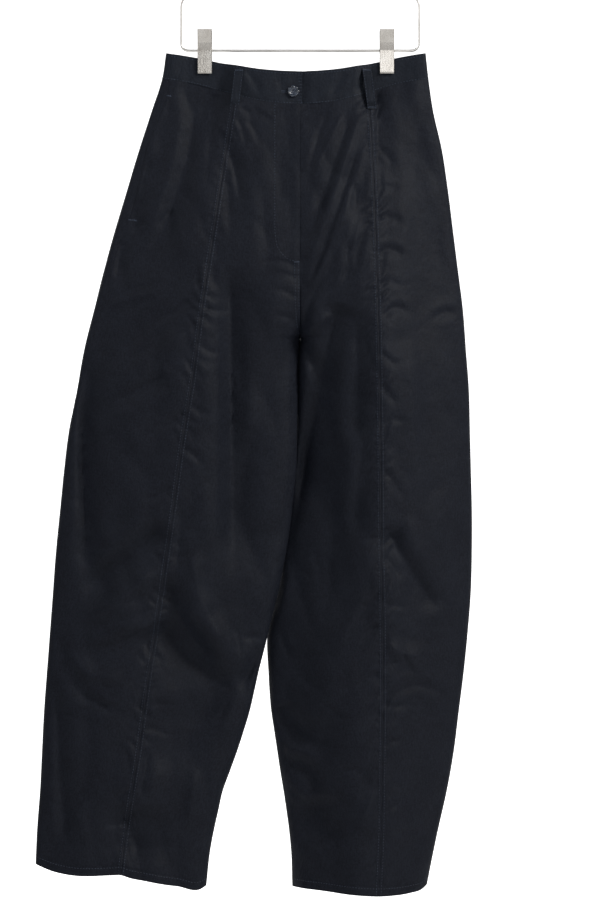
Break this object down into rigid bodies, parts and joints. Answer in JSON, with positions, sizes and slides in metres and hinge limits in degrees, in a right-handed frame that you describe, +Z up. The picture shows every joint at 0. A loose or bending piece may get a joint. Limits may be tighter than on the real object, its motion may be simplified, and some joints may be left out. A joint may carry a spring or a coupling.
{
  "type": "baggy pants on a clip hanger",
  "caption": "High-waist barrel-leg trousers in crisp dark cotton with panelled fronts and a buttoned waistband, hung flat from the jaws of a wire clip hanger.",
  "frame": {"origin": "inside top of the hanger's hook, where the rail bears", "axes": "+Z up, +Y from the front of the trousers to the back, +X to the wearer's left"},
  "size_m": [0.5674, 0.128, 1.277],
  "materials": {
    "panel_cotton": "crisp satin-weave cotton, dark navy",
    "band_cotton": "the same cotton, folded and topstitched",
    "loop_cotton": "the same cotton, folded in a strip",
    "button_plastic": "gloss, cast with a marbled rim",
    "hanger_steel": "plated wire, satin",
    "clip_steel": "pressed plate, brushed",
    "lip_rubber": "matt"
  },
  "bodies": {
    "root": {"front_centre_right": "panel_cotton", "front_side_right": "panel_cotton", "back_right": "panel_cotton", "front_centre_left": "panel_cotton", "front_side_left": "panel_cotton", "back_left": "panel_cotton", "waistband_front_right": "band_cotton", "waistband_front_left": "band_cotton", "waistband_back": "band_cotton", "loop_front_right": "loop_cotton", "loop_front_left": "loop_cotton", "loop_back_right": "loop_cotton", "loop_back_left": "loop_cotton", "loop_back_centre": "loop_cotton", "button": "button_plastic", "hanger_frame": "hanger_steel", "hanger_hook": "hanger_steel", "clip_right_jaw_front": "clip_steel", "clip_right_lip_front": "lip_rubber", "clip_right_jaw_back": "clip_steel", "clip_right_lip_back": "lip_rubber", "clip_right_spring": "clip_steel", "clip_left_jaw_front": "clip_steel", "clip_left_lip_front": "lip_rubber", "clip_left_jaw_back": "clip_steel", "clip_left_lip_back": "lip_rubber", "clip_left_spring": "clip_steel"}
  },
  "joints": []
}
